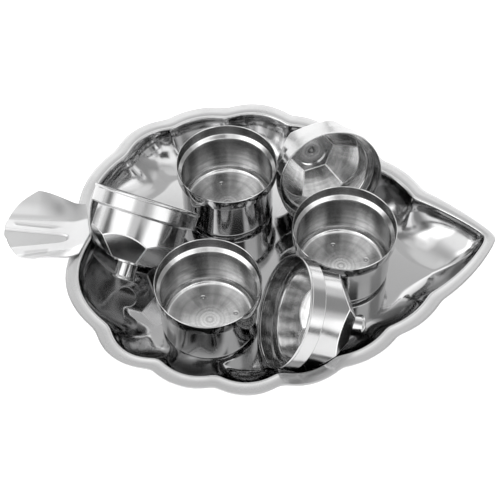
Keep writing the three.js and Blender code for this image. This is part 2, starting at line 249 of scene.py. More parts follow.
def mirror_steel(name, roughness, wave_scale, wave_depth, ripple=0.12, scratches=0.3,
                 brightness=1.0, turned=False):
    material, tree, shader = new_steel(name)
    if turned:
        place = put(tree, "ShaderNodeAttribute", attribute_name="turned").outputs["Vector"]
    else:
        place = put(tree, "ShaderNodeTexCoord").outputs["Object"]
    sheet = put(tree, "ShaderNodeGroup", [("Place", place)], node_tree=buffed,
                in_Wave_scale=wave_scale, in_Ripple=ripple, in_Scratches=scratches)
    shade = put(tree, "ShaderNodeMix", [("Factor", sheet.outputs["Smear"])], data_type="RGBA")
    shade.inputs["A"].default_value = (*[c * brightness for c in STEEL], 1)
    shade.inputs["B"].default_value = (*[c * brightness * SMEAR_SHADE for c in STEEL], 1)
    tree.links.new(shade.outputs["Result"], shader.inputs["Base Color"])
    dull = ramp(tree, sheet.outputs["Smear"], 0, 1, roughness, roughness + SMEAR_DULLNESS)
    tree.links.new(dull, shader.inputs["Roughness"])
    bump = put(tree, "ShaderNodeBump", [("Height", sheet.outputs["Height"])],
               in_Strength=1.0, in_Distance=wave_depth * MM)
    tree.links.new(bump.outputs[0], shader.inputs["Normal"])
    return material


# %% [markdown]
# The tray is one pressed sheet. Its outline is a leaf of sixteen lobes, and its two sides were
# not struck quite alike, so each side has its own notches. The outline could be one smooth curve
# with many control points, but a lobe is a plain arc between two notches, so a notch and a bulge
# say all there is. The same notches, drawn further in, give every ring down the fluted wall.

# %% Tray sizes
TRAY_SHEET, TRAY_DEPTH = 0.8, 18
TIP_X, TIP_Y, CUSP_X, CUSP_Y, HALF_WIDTH = 125.1, 4.5, -86, -0.4, 86.9
FLANGE_WIDTH, TIP_FLANGE_SHARE, CUSP_FLANGE_SHARE = 5.5, 0.75, 0.85
BEVEL_WIDTH, BEVEL_DROP = 2.3, 1.3
WALL_RUN, CUSP_RUN_SHARE, WALL_CURVE, FLUTE_GAIN = 15, 0.4, 1.5, 1.6
TIP_FOOT_X, TIP_FOOT_Y = 95.3, -5.3
FLANGE_TOP = TRAY_SHEET + TRAY_DEPTH
# on each side: share of the length, share of the half width, bulge of the lobe before the notch
NOTCHES = {
    "far": [(0.059, 0.648, 8.7), (0.181, 0.911, 5.0), (0.332, 1.016, 3.6), (0.502, 0.965, 5.6),
            (0.609, 0.839, 2.8), (0.729, 0.618, 4.5), (0.827, 0.389, 2.4)],
    "near": [(0.063, 0.661, 11.0), (0.196, 0.899, 6.3), (0.338, 0.999, 4.5), (0.490, 0.975, 5.1),
             (0.624, 0.858, 4.0), (0.748, 0.653, 3.3), (0.854, 0.411, 2.5)]}
FIRST_RUN_SHARE = 0.8
# the wall's foot is fuller at the handle end: extra run in mm at the cusp and at each notch
FOOT_SPREAD = {"far": [8, 9, 8, 6, 3, 1, 1, 1], "near": [8, 9, 4, 2, 1, 1, 1, 1]}
TIP_BULGE = {"far": 1.5, "near": 2.9}
TIP_FOOT_BULGE = {"far": -4, "near": -0.5}
FLIP = {"far": 1, "near": -1}
print("leaf, mm:", round(TIP_X - CUSP_X, 1), "long,", round(2 * HALF_WIDTH, 1), "wide")

# %% [markdown]
# A ring is one line round the leaf at one height. Its corners are the notches, moved in from the
# edge along the normal, and arcs join them. Then the ring is smoothed: each point moves towards
# its two neighbours a few times, as a sheet can't follow the die into a sharp corner. The tip is
# smoothed more, because it is the sharpest corner of all.

# %% Leaf ring
RING_STEPS, TIP_SOFTENING = 24, 9


def leaf_corners(side, flange, run):
    length = TIP_X - CUSP_X
    outer = [Vector((CUSP_X + a * length, o * HALF_WIDTH)) for a, o, _ in NOTCHES[side]]
    cusp, tip = Vector((CUSP_X, CUSP_Y * FLIP[side])), Vector((TIP_X, TIP_Y * FLIP[side]))
    line = [cusp, *outer, tip]
    inset = flange * CUSP_FLANGE_SHARE + run * WALL_RUN * CUSP_RUN_SHARE
    corners = [cusp + Vector((inset + FOOT_SPREAD[side][0] * run, 0))]
    for i, point in enumerate(outer):
        chord = (line[i + 2] - line[i]).normalized()
        inset = flange + run * WALL_RUN * (FIRST_RUN_SHARE if i == 0 else 1)
        inset += FOOT_SPREAD[side][i + 1] * run
        corners.append(point + Vector((chord.y, -chord.x)) * inset)
    tip.x -= flange * TIP_FLANGE_SHARE
    corners.append(tip.lerp(Vector((TIP_FOOT_X, TIP_FOOT_Y * FLIP[side])), run))
    return corners


def leaf_side(side, flange, run, bulge_share):
    corners = leaf_corners(side, flange, run)
    last = TIP_BULGE[side] + (TIP_FOOT_BULGE[side] - TIP_BULGE[side]) * run
    bulges = [b for _, _, b in NOTCHES[side]] + [last]
    points = []
    for i, bulge in enumerate(bulges):
        chord = corners[i + 1] - corners[i]
        outward = Vector((-chord.y, chord.x)).normalized()
        count = RING_STEPS * 3 // 2 if i in (0, len(bulges) - 1) else RING_STEPS
        for step in range(count):
            share = step / count
            rise = 4 * share * (1 - share) * bulge * bulge_share
            points.append(corners[i] + chord * share + outward * rise)
    points.append(corners[-1])
    return [Vector((p.x, p.y * FLIP[side])) for p in points]


def softened(points, i):
    return (points[i - 1] + points[i] * 2 + points[(i + 1) % len(points)]) / 4


def leaf_ring(flange, run, bulge_share, drop, softening):
    flat = leaf_side("far", flange, run, bulge_share)
    flat += leaf_side("near", flange, run, bulge_share)[-2:0:-1]
    tip = flat.index(max(flat, key=lambda p: p.x))
    first, last = tip - RING_STEPS // 2, tip + RING_STEPS // 2
    for _ in range(TIP_SOFTENING):
        flat[first:last + 1] = [softened(flat, i) for i in range(first, last + 1)]
    for _ in range(softening):
        flat = [softened(flat, i) for i in range(len(flat))]
    return [Vector((p.x, p.y, FLANGE_TOP - drop)) * MM for p in flat]


print("points in a ring:", len(leaf_ring(0, 0, 1, 0, 0)))

# %% [markdown]
# The tray's floor and flange lie flat and calm, and its fluted wall is lively, so the waves in
# the bump fade below and above the wall. The flange has a satin finish, which shows the room
# only as a soft grey. All of this could be three materials on chosen faces, but then a line
# would show between them, so it follows the height of the point instead.

# %% Tray: calm floor, lively wall, satin flange
WALL_FOOT, WALL_HEAD, CALM = 1, TRAY_DEPTH, 0.25
FOOT_FADE, HEAD_FADE, SATIN_FADE = 3, 2, 0.5
SATIN, WALL_DULLNESS = 0.17, 0.07


def calm_flat_parts(material):
    tree = material.node_tree
    shader = tree.nodes["Principled BSDF"]
    bump = feeding(shader, "Normal").node
    waves = feeding(bump, "Height")
    place = feeding(waves.node, "Place")
    height = put(tree, "ShaderNodeSeparateXYZ", [(0, place)]).outputs["Z"]
    above_floor = ramp(tree, height, WALL_FOOT * MM, (WALL_FOOT + FOOT_FADE) * MM, CALM, 1.0)
    below_flange = ramp(tree, height, (WALL_HEAD - HEAD_FADE) * MM, WALL_HEAD * MM, 1.0, CALM)
    lively = reckon(tree, "MINIMUM", above_floor, below_flange)
    waves = reckon(tree, "MULTIPLY", reckon(tree, "SUBTRACT", waves, 0.5), lively)
    tree.links.new(waves, bump.inputs["Height"])
    satin = ramp(tree, height, WALL_HEAD * MM, (WALL_HEAD + SATIN_FADE) * MM, 0.0, SATIN)
    dull = reckon(tree, "MULTIPLY_ADD", lively, WALL_DULLNESS, feeding(shader, "Roughness"))
    tree.links.new(reckon(tree, "ADD", dull, satin), shader.inputs["Roughness"])
    return lively


# %% [markdown]
# The two walls carry painted reflections in their shade. The far wall is painted brighter, with
# dark and light spots that stand in for the reflections of its hollows. The near wall is painted
# dark, standing in for the dark things it mirrors. Which wall a point belongs to is read from the
# side that its normal faces: its Y is negative on the far wall, which looks towards the camera,
# and positive on the near wall.

# %% Tray: painted reflections, a lighter far wall, a darker near wall and spots
NEAR_FACING, NEAR_PAINTED_SHADE = (0.1, 0.5), 0.25
FAR_FACING, FAR_PAINTED_LIGHT = (-0.6, -0.1), 1.4
SPOT_FACING, SPOT_FINENESS, SPOT_RANGE = (-0.45, -0.15), 75.0, (0.43, 0.56)
SPOT_PAINTED_SHADES = (-0.5, 0.12)


def paint_wall_reflections(material, lively):
    tree = material.node_tree
    place = put(tree, "ShaderNodeTexCoord")
    facing = put(tree, "ShaderNodeSeparateXYZ", [(0, place.outputs["Normal"])]).outputs["Y"]
    # painted shade on the near wall and painted light on the far wall, standing in for what each
    # wall mirrors
    near_wall_shade = ramp(tree, facing, *NEAR_FACING, 1.0, NEAR_PAINTED_SHADE, smooth=True)
    far_wall_light = ramp(tree, facing, *FAR_FACING, FAR_PAINTED_LIGHT, 1.0, smooth=True)
    # painted reflection spots: dark and light patches in the far wall's shade
    spots = put(tree, "ShaderNodeTexNoise", [("Vector", place.outputs["Object"])],
                in_Scale=SPOT_FINENESS, in_Detail=0.5)
    painted_spots = ramp(tree, spots.outputs["Fac"], *SPOT_RANGE, *SPOT_PAINTED_SHADES, smooth=True)
    on_far_wall = ramp(tree, facing, *SPOT_FACING, 1.0, 0.0, smooth=True)
    painted_spots = reckon(tree, "MULTIPLY", painted_spots, on_far_wall)
    painted_spots = reckon(tree, "MULTIPLY_ADD", painted_spots, lively, 1.0)
    finish = reckon(tree, "MULTIPLY", near_wall_shade, far_wall_light)
    # the painted wall light and the painted spots are laid over the steel's shade
    lay_over(material, reckon(tree, "MULTIPLY", finish, painted_spots))


# %% Tray steel
tray_steel = mirror_steel("tray steel", roughness=0.05, wave_scale=35, wave_depth=0.35,
                          ripple=0.01, scratches=0.04)
paint_wall_reflections(tray_steel, calm_flat_parts(tray_steel))

# %% [markdown]
# The sheet is drawn ring by ring: the outer edge is extruded inwards across the flange, with a
# fine crease beside its inner edge, over a shallow bright bevel and down the wall, and each new
# ring is moved to its place. A cloth or a lattice could be pushed down into a leaf shape, but
# rings keep every flute where its notch is. The ridges between the flutes get softer towards the
# floor, as the press leaves them.

# %% Tray
# across the flange: distance from the edge and drop, both in mm
FLANGE_RELIEF = [(0.0, 0.25), (0.35, 0), (1.2, 0), (3.2, 0), (5.9, 0), (6.15, 0.06), (6.4, 0.06),
                 (6.7, 0), (7.1, 0.08), (7.5, 0.4)]
WALL_STEPS, FLOOR_EDGE = 24, 1.5
EDGE_SOFTENING, WALL_SOFTENING, FLOOR_SOFTENING = 3, 14, 24


def tray_stations():
    stations = [(flange, 0, 1, drop, EDGE_SOFTENING) for flange, drop in FLANGE_RELIEF]
    wall_top = FLANGE_WIDTH + BEVEL_WIDTH
    for i in range(WALL_STEPS + 1):
        share = i / WALL_STEPS
        fall = 1 - (1 - share) ** WALL_CURVE
        drop = BEVEL_DROP + fall * (TRAY_DEPTH - BEVEL_DROP)
        bulge = 1 + share * (1 - share) * FLUTE_GAIN
        softening = EDGE_SOFTENING + round(WALL_SOFTENING * share)
        stations.append((wall_top, share ** WALL_CURVE, bulge, drop, softening))
    stations.append((wall_top + FLOOR_EDGE, 1, 1, TRAY_DEPTH, FLOOR_SOFTENING))
    return stations


def extrude_ring(bm, edges, ring, places):
    made = bmesh.ops.extrude_edge_only(bm, edges=edges)["geom"]
    fresh = {g for g in made if isinstance(g, bmesh.types.BMVert)}
    inner = [g for g in made if isinstance(g, bmesh.types.BMEdge)
             and g.verts[0] in fresh and g.verts[1] in fresh]
    moved = []
    for vert, place in zip(ring, places):
        partner = next(e.other_vert(vert) for e in vert.link_edges
                       if e.other_vert(vert) in fresh)
        partner.co = place
        moved.append(partner)
    return inner, moved


def build_tray():
    rings = [leaf_ring(*station) for station in tray_stations()]
    bm = bmesh.new()
    ring = [bm.verts.new(place) for place in rings[0]]
    edges = [bm.edges.new((vert, ring[(i + 1) % len(ring)])) for i, vert in enumerate(ring)]
    for places in rings[1:]:
        edges, ring = extrude_ring(bm, edges, ring, places)
    bmesh.ops.edgeloop_fill(bm, edges=edges)
    face_outwards(bm)
    return bm


finish_piece(build_tray(), "tray_skin", "tray", "leaf_tray", [tray_steel],
             hard_angle=60, thickness=TRAY_SHEET * MM)

# %% [markdown]
# The handle is a fan of sheet that lies on the flange. A tongue is pressed into its middle, with
# a round inner end, a narrow groove runs beside it, and two wings fold up at the sides. It could
# be cut from a sheet and folded edge by edge. Instead it starts as a flat grid, which is bent to
# the fan's outline and then pressed by a height that depends on the place, because the folds of
# the real one are soft.

# %% Handle sizes
HANDLE_SHEET, HANDLE_SEAT = 0.8, 0.3
HANDLE_OVERLAP, HANDLE_LENGTH = 4.8, 43.9
HANDLE_INNER_X = CUSP_X + HANDLE_OVERLAP
HANDLE_OUTER_X = HANDLE_INNER_X - HANDLE_LENGTH
HANDLE_SHOULDER = {"far": 27.2, "near": 24.8}
HANDLE_APEX, HANDLE_EDGE_POWER = 0.22, {"far": 2.5, "near": 1.55}
HANDLE_ROOT_HALF = {"far": 18, "near": 10.5}
HANDLE_CORNER_HALF = {"far": 21.2, "near": 19.4}
HANDLE_FULLNESS = {"far": 0.45, "near": 1}
HANDLE_VEE, HANDLE_SHIFT, HANDLE_CLEAR = 4.2, 3, 5.5
HANDLE_BAND_SHARE, FOLD_SOFTNESS, WING_RISE = 0.5, 0.02, {"far": 11, "near": 9}
TONGUE_DEPTH, TONGUE_ROUND, TONGUE_RUN, TONGUE_END_SLOPE = 0.9, 5, 33, 3
# half width of tongue, share of the half handle: at its round end, and how much wider at the edge
TONGUE_HALF = {"far": (0.09, 0.13), "near": (0.18, 0.12)}
TONGUE_WALL_IN, TONGUE_WALL_OUT = 0.03, 0.02
GROOVE_SHARE, GROOVE_SLANT, GROOVE_HALF, GROOVE_DEPTH = 0.27, 0.12, 0.06, 0.4
# where the groove starts and ends in mm from the middle, and how far each end fades
GROOVE_ALONG = (95, 121, 8, 2)
print("handle, mm:", HANDLE_LENGTH, "long,", HANDLE_OVERLAP, "of it over the flange")


# %% [markdown]
# Each form of the handle is a small function of the place: x along the plate in mm, and the
# share of the half width, from -1 at the near edge to 1 at the far edge. A smooth step rises
# gently from 0 to 1, and a window rises and falls again. The tongue and the groove sink into
# the sheet, and both widen or slant as they run outwards.


# %% Handle: tongue and groove
def smooth_step(value, low, high):
    share = min(1, max(0, (value - low) / (high - low)))
    return share * share * (3 - 2 * share)


def window(value, start, end, fade_in, fade_out):
    rise = smooth_step(value, start, start + fade_in)
    return rise * (1 - smooth_step(value, end - fade_out, end))


def way_out(x, run):
    return min(1, max(0, (-x + CUSP_X - HANDLE_CLEAR) / run))


def tongue_sink(x, share):
    inside = way_out(x, TONGUE_ROUND)
    narrow, spread = TONGUE_HALF["far" if share > 0 else "near"]
    half = (narrow + spread * way_out(x, TONGUE_RUN)) * math.sqrt(inside * (2 - inside))
    edge = 1 - smooth_step(abs(share), half - TONGUE_WALL_IN, half + TONGUE_WALL_OUT)
    return TONGUE_DEPTH * edge * min(1, TONGUE_END_SLOPE * inside)


def groove_sink(x, share):
    along = window(-x, *GROOVE_ALONG)
    middle = GROOVE_SHARE + GROOVE_SLANT * way_out(x, TONGUE_RUN)
    across = 1 - smooth_step(abs(share - middle), 0, GROOVE_HALF)
    return GROOVE_DEPTH * along * across


print("tongue at the handle's edge, mm deep:", round(tongue_sink(HANDLE_OUTER_X, 0), 2))


# %% [markdown]
# The outline comes next, and the wings. The fan starts with a shallow vee behind the flange and
# widens to two shoulders, and its outer edge falls back from an apex beside the middle. The far
# side is rounder than the near side, so each has its own values.


# %% Handle: outline and wings
def handle_point(along, share):
    side, name = abs(share), "far" if share > 0 else "near"
    inner = HANDLE_INNER_X - HANDLE_VEE * side
    beyond = abs(share - HANDLE_APEX) / (1 - HANDLE_APEX * FLIP[name])
    fall_back = HANDLE_LENGTH - HANDLE_SHOULDER[name]
    outer = HANDLE_OUTER_X + fall_back * beyond ** HANDLE_EDGE_POWER[name]
    x = inner + (outer - inner) * along
    widen = max(0, (HANDLE_INNER_X - x) / HANDLE_SHOULDER[name])
    root = HANDLE_ROOT_HALF[name]
    half = root + (HANDLE_CORNER_HALF[name] - root) * widen ** HANDLE_FULLNESS[name]
    shift = HANDLE_SHIFT * smooth_step(-x, -HANDLE_INNER_X, -CUSP_X + HANDLE_CLEAR)
    lift = smooth_step(-x, -HANDLE_INNER_X, HANDLE_SHOULDER[name] - HANDLE_INNER_X)
    fold = max(0, side - HANDLE_BAND_SHARE)
    wing = fold * fold / (fold + FOLD_SOFTNESS) / (1 - HANDLE_BAND_SHARE)
    z = FLANGE_TOP + HANDLE_SEAT + HANDLE_SHEET + WING_RISE[name] * wing * lift
    z -= tongue_sink(x, share) + groove_sink(x, share)
    return Vector((x, share * half - shift, z)) * MM


print("handle's apex, mm:", [round(c / MM, 1) for c in handle_point(1, HANDLE_APEX)])

# %% [markdown]
# The handle was buffed only lightly, so it is a little rough. Its shade carries painted
# reflections. The same places say where the steel mirrors the bright tent and where it mirrors
# something grey: the flat band is painted bright, and the tongue, the groove, a panel in the near
# wing and most of the far wing are painted grey. Only a strip of the far wing near its outer edge
# is painted bright too. The value is kept in the mesh as an attribute, because the shares can't
# be told from a place alone.

# %% Handle: where reflections are painted bright
WING_FADE, STRIP_SHEEN, GROOVE_PAINTED_SHADE, PANEL_PAINTED_SHADE = 0.04, 0.6, 0.8, 0.7
# share across, or mm along: start, end, and how far each end fades
STRIP_ACROSS, STRIP_START, STRIP_FULL = (0.56, 0.84, 0.06, 0.18), 97, 112
PANEL_ACROSS, PANEL_ALONG = (0.38, 0.74, 0.06, 0.06), (100.5, 114, 1.5, 2)


# painted reflection: 1 on the band painted bright, less where the handle is painted grey
def handle_painted_sheen(x, share):
    wing = smooth_step(share, HANDLE_BAND_SHARE - WING_FADE, HANDLE_BAND_SHARE + WING_FADE)
    strip = window(share, *STRIP_ACROSS) * smooth_step(-x, STRIP_START, STRIP_FULL)
    wing *= 1 - STRIP_SHEEN * strip
    panel = window(-share, *PANEL_ACROSS) * window(-x, *PANEL_ALONG)
    tongue = tongue_sink(x, share) / TONGUE_DEPTH
    groove = groove_sink(x, share) / GROOVE_DEPTH
    return (1 - wing) * (1 - tongue) * (1 - GROOVE_PAINTED_SHADE * groove) * (1 - PANEL_PAINTED_SHADE * panel)


print("buff in the far wing:", round(handle_painted_sheen(HANDLE_OUTER_X, 1), 2))

# %% [markdown]
# The material reads that value, which the handle's mesh carries as an attribute. Where the
# painted reflection is bright, the shade is a fifth brighter, and elsewhere it is a little
# darker.

# %% Handle: painted bright band
HANDLE_SHEEN_SHADES = (0.84, 1.22)


def paint_sheen_band(material):
    tree = material.node_tree
    painted_sheen = put(tree, "ShaderNodeAttribute", attribute_name="painted_sheen")
    # the painted reflection is laid over the handle's shade
    lay_over(material, ramp(tree, painted_sheen.outputs["Fac"], 0, 1, *HANDLE_SHEEN_SHADES))


# %% Handle steel
# brightness paints the whole handle a seventh lighter than the other steel, as painted light
handle_steel = mirror_steel("handle steel", roughness=0.34, wave_scale=45, wave_depth=0.12,
                            brightness=1.14)
paint_sheen_band(handle_steel)


# %% [markdown]
# Now the handle itself. Its grid is finer across than along, since the tongue and the groove
# have narrow sides. Each point of the grid knows how far along and how far across it lies, and
# that is all that the functions above need.


# %% Handle
def build_handle():
    bm = bmesh.new()
    bmesh.ops.create_grid(bm, x_segments=120, y_segments=160, size=1)
    painted_sheen = bm.verts.layers.float.new("painted_sheen")
    for vert in bm.verts:
        share = vert.co.y
        vert.co = handle_point(0.5 - vert.co.x / 2, share)
        vert[painted_sheen] = handle_painted_sheen(vert.co.x / MM, share)
    face_outwards(bm)
    return bm


finish_piece(build_handle(), "handle_skin", "tray", "stem_handle",
             [handle_steel], hard_angle=60, thickness=HANDLE_SHEET * MM)

# %% [markdown]
# Cups, lids and knobs are spun or turned, so their shape is a half profile that goes once round
# an axis. A profile drawn with a ruler has sharp corners, and steel never has: polishing rounds
# them, and the round edge catches the light. A Bevel modifier could round them, but it would
# also touch the seam, so each corner of the profile gets a small curve before it is spun.

# %% Helpers: rounded corners and the lathe
CORNER_REACH = 0.45


def round_corners(profile, radius, points=3):
    rounded = [profile[0]]
    for before, corner, after in zip(profile, profile[1:], profile[2:]):
        here = Vector(corner)
        back, on = Vector(before) - here, Vector(after) - here
        reach = min(radius, back.length * CORNER_REACH, on.length * CORNER_REACH)
        start, end = here + back.normalized() * reach, here + on.normalized() * reach
        for i in range(points + 1):
            share = i / points
            a = start.lerp(here, share)
            b = here.lerp(end, share)
            rounded.append(tuple(a.lerp(b, share)))
    rounded.append(profile[-1])
    return rounded


def spin_profile(bm, profile, material_index=0, steps=120):
    before = set(bm.faces)
    verts = [bm.verts.new((r * MM, 0, z * MM)) for r, z in profile]
    edges = [bm.edges.new(pair) for pair in zip(verts, verts[1:])]
    bmesh.ops.spin(bm, geom=verts + edges, axis=(0, 0, 1), cent=(0, 0, 0), steps=steps,
                   angle=2 * math.pi, use_merge=True)
    bmesh.ops.remove_doubles(bm, verts=bm.verts[:], dist=MERGE)
    for face in bm.faces:
        if face not in before:
            face.material_index = material_index


print("points of one rounded corner:", len(round_corners([(0, 0), (5, 0), (5, 5)], 1)) - 2)


# %% [markdown]
# Turned pieces carry their own coordinates. Before a piece is put in its place, each vertex
# keeps where it was on the lathe in an attribute called turned. The spun rings and streaks in
# the materials follow it, also on a lid that lies on its side. Object coordinates would do for
# a standing cup only.


# %% Helper: the place on the lathe
def keep_turned(bm):
    layer = bm.verts.layers.float_vector.new("turned")
    for vert in bm.verts:
        vert[layer] = vert.co


# %% [markdown]
# Spun steel shows rings. The tool leaves a fine groove as the blank turns, so the height
# changes with the distance from the axis and with the height, and hardly round the piece. Real
# grooves would need thousands of faces, so they are a noise along radius and height, with a
# plain wave near the axis, where the tool's step is wide enough to count the rings.

# %% Node group: spun rings
FINE_RINGS, BROAD_RINGS, FINE_SHARE, STREAK_SPREAD = 2200.0, 420.0, 0.35, 12.0

spun, spun_in, spun_out = new_group(
    "spun rings",
    [("Turned", "NodeSocketVector", None), ("Tool step", "NodeSocketFloat", 0.0021),
     ("Tool marks", "NodeSocketFloat", 0.5), ("Marked radius", "NodeSocketFloat", 0.009)],
    [("Height", "NodeSocketFloat"), ("Streak", "NodeSocketFloat"),
     ("Radius", "NodeSocketFloat"), ("Angle", "NodeSocketFloat")])
parts = put(spun, "ShaderNodeSeparateXYZ", [(0, spun_in.outputs["Turned"])])
x_square = reckon(spun, "MULTIPLY", parts.outputs["X"], parts.outputs["X"])
xy_square = reckon(spun, "MULTIPLY_ADD", parts.outputs["Y"], parts.outputs["Y"], x_square)
radius = reckon(spun, "SQRT", xy_square, 0)
around = reckon(spun, "ARCTAN2", parts.outputs["Y"], parts.outputs["X"])
ring_place = put(spun, "ShaderNodeCombineXYZ", [("X", radius), ("Y", parts.outputs["Z"])])
fine = put(spun, "ShaderNodeTexNoise", [("Vector", ring_place.outputs[0])],
           in_Scale=FINE_RINGS, in_Detail=2.0)
broad = put(spun, "ShaderNodeTexNoise", [("Vector", ring_place.outputs[0])],
            in_Scale=BROAD_RINGS, in_Detail=1.0)
rings = reckon(spun, "MULTIPLY_ADD", fine.outputs["Fac"], FINE_SHARE, broad.outputs["Fac"])
turns = reckon(spun, "DIVIDE", radius, spun_in.outputs["Tool step"])
wave = reckon(spun, "SINE", reckon(spun, "MULTIPLY", turns, 2 * math.pi), 0)
near_axis = put(spun, "ShaderNodeMapRange", [("Value", radius),
                ("From Max", spun_in.outputs["Marked radius"])], in_1=0.0, in_3=1.0, in_4=0.0)
wave = reckon(spun, "MULTIPLY", wave, near_axis.outputs[0])
rings = reckon(spun, "MULTIPLY_ADD", wave, spun_in.outputs["Tool marks"], rings)
cosine = reckon(spun, "COSINE", around, 0)
sine = reckon(spun, "SINE", around, 0)
z_spread = reckon(spun, "MULTIPLY", parts.outputs["Z"], STREAK_SPREAD)
streak_place = put(spun, "ShaderNodeCombineXYZ", [("X", cosine), ("Y", sine), ("Z", z_spread)])
streak_noise = put(spun, "ShaderNodeTexNoise", [("Vector", streak_place.outputs[0])],
                   in_Scale=4.0, in_Detail=3.0)
off_axis = ramp(spun, radius, 0.002, 0.012, 0.0, 1.0)
streak = reckon(spun, "SUBTRACT", streak_noise.outputs["Fac"], 0.5)
streak = reckon(spun, "MULTIPLY_ADD", streak, off_axis, 0.5)
for label, socket in (("Height", rings), ("Streak", streak), ("Radius", radius),
                      ("Angle", around)):
    spun.links.new(socket, spun_out.inputs[label])
print("group:", spun.name)

# %% [markdown]
# Every cup has a few small pips in its floor, where it was held down in the press, and every
# lid has one in its end. Each is a shallow ring round a raised middle. Separate small meshes
# would do too, but a group that folds the floor into equal slices needs to draw one pip only:
# it appears in every slice.

# %% Node group: floor pips
pips, pips_in, pips_out = new_group(
    "floor pips",
    [("Radius", "NodeSocketFloat", 0.0), ("Angle", "NodeSocketFloat", 0.0),
     ("Slices", "NodeSocketFloat", 4.0), ("Bearing", "NodeSocketFloat", 0.3),
     ("Circle", "NodeSocketFloat", 0.014), ("Size", "NodeSocketFloat", 0.0009)],
    [("Height", "NodeSocketFloat")])
slice_angle = reckon(pips, "DIVIDE", math.pi, pips_in.outputs["Slices"])
angle = reckon(pips, "SUBTRACT", pips_in.outputs["Angle"], pips_in.outputs["Bearing"])
angle = reckon(pips, "WRAP", angle, slice_angle, reckon(pips, "MULTIPLY", slice_angle, -1))
sideways = reckon(pips, "MULTIPLY", angle, pips_in.outputs["Circle"])
outwards = reckon(pips, "SUBTRACT", pips_in.outputs["Radius"], pips_in.outputs["Circle"])
square = reckon(pips, "MULTIPLY", outwards, outwards)
square = reckon(pips, "MULTIPLY_ADD", sideways, sideways, square)
distance = reckon(pips, "DIVIDE", reckon(pips, "SQRT", square, 0), pips_in.outputs["Size"])
bowl = ramp(pips, distance, 0.4, 1.2, -1.0, 0.0, smooth=True)
middle = ramp(pips, distance, 0.0, 0.6, 0.8, 0.0, smooth=True)
pips.links.new(reckon(pips, "ADD", bowl, middle), pips_out.inputs["Height"])
print("group:", pips.name)

# %% [markdown]
# Spun steel is for the insides of cups and lids. Their shade carries painted light. The floor and
# the step face up to the bright tent and are painted bright. The walls mirror the darker parts of
# the room and are painted grey. So the shade follows the height on the lathe, by a few stops. The
# rings, streaks and pips make it lighter and darker, as painted highlights and shade of the
# reflections that they break up. They stand in the shade as well as in the bump, because a bump
# alone hardly shows on steel under a white tent. The value pips_at gives how many pips there are,
# the radius of their circle and their size, both in metres.

# %% Spun steel
STREAK_RANGE, STREAK_SHADES, STREAK_DULLNESS = (0.25, 0.75), (0.72, 1.28), (0.7, 1.3)
RING_RANGE, RING_SHADES = (0.275, 1.075), (0.7, 1.3)
PIP_RANGE, PIP_SHADES, PIP_DEPTH = (-1.0, 0.8), (0.45, 1.45), 0.2


def spun_steel(name, roughness, ring_depth, full_height, stops, tool_marks, pips_at):
    material, tree, shader = new_steel(name)
    turned = put(tree, "ShaderNodeAttribute", attribute_name="turned").outputs["Vector"]
    marks = put(tree, "ShaderNodeGroup", [("Turned", turned)], node_tree=spun,
                in_Tool_marks=tool_marks)
    height = put(tree, "ShaderNodeSeparateXYZ", [(0, turned)]).outputs["Z"]
    share = reckon(tree, "DIVIDE", height, full_height * MM)
    # painted light by height: a bright floor and step, grey walls
    height_light = put(tree, "ShaderNodeValToRGB", [("Fac", share)])
    elements = height_light.color_ramp.elements
    for i, (at, level) in enumerate(stops):
        stop = elements[i] if i < 2 else elements.new(at / full_height)
        stop.position = at / full_height
        stop.color = (level, level, level, 1)
    tree.links.new(height_light.outputs["Color"], shader.inputs["Base Color"])
    dots = put(tree, "ShaderNodeGroup", [("Radius", marks.outputs["Radius"]),
               ("Angle", marks.outputs["Angle"])], node_tree=pips)
    for socket, value in zip(("Slices", "Circle", "Size"), pips_at):
        dots.inputs[socket].default_value = value
    # painted highlights and shade from the rings, streaks and pips
    streaked = ramp(tree, marks.outputs["Streak"], *STREAK_RANGE, *STREAK_SHADES)
    ringed = ramp(tree, marks.outputs["Height"], *RING_RANGE, *RING_SHADES)
    dotted = ramp(tree, dots.outputs["Height"], *PIP_RANGE, *PIP_SHADES)
    painted_ring_light = reckon(tree, "MULTIPLY", reckon(tree, "MULTIPLY", streaked, ringed), dotted)
    lay_over(material, painted_ring_light)
    dull = ramp(tree, marks.outputs["Streak"], 0, 1, *(roughness * d for d in STREAK_DULLNESS))
    tree.links.new(dull, shader.inputs["Roughness"])
    bump = put(tree, "ShaderNodeBump", [("Height", marks.outputs["Height"])], in_Strength=1.0,
               in_Distance=ring_depth * MM)
    press = put(tree, "ShaderNodeBump", [("Height", dots.outputs["Height"]),
                ("Normal", bump.outputs[0])], in_Strength=1.0, in_Distance=PIP_DEPTH * MM)
    tree.links.new(press.outputs[0], shader.inputs["Normal"])
    return material


# %% [markdown]
# A cup is drawn steel: a straight wall, a wider band at the mouth for the lid to sit on, and a
# small rounded corner at the floor. One profile with a Solidify modifier would do for the
# shape. The outside and the inside are spun as two profiles instead, so that each gets its own
# finish: the outside was buffed, and the inside keeps its rings.

# %% Cup sizes
CUP_RIM, CUP_BODY, CUP_HEIGHT, CUP_BAND, CUP_STEP = 26, 24, 33.5, 6.4, 1.6
CUP_CORNER, CUP_WALL, CUP_ROUNDING, CORNER_STEPS, STEP_LIFT = 3.6, 0.6, 0.35, 8, 0.15
BAND_FOOT = CUP_HEIGHT - CUP_BAND
print("cup, mm:", 2 * CUP_RIM, "across,", CUP_HEIGHT, "high")


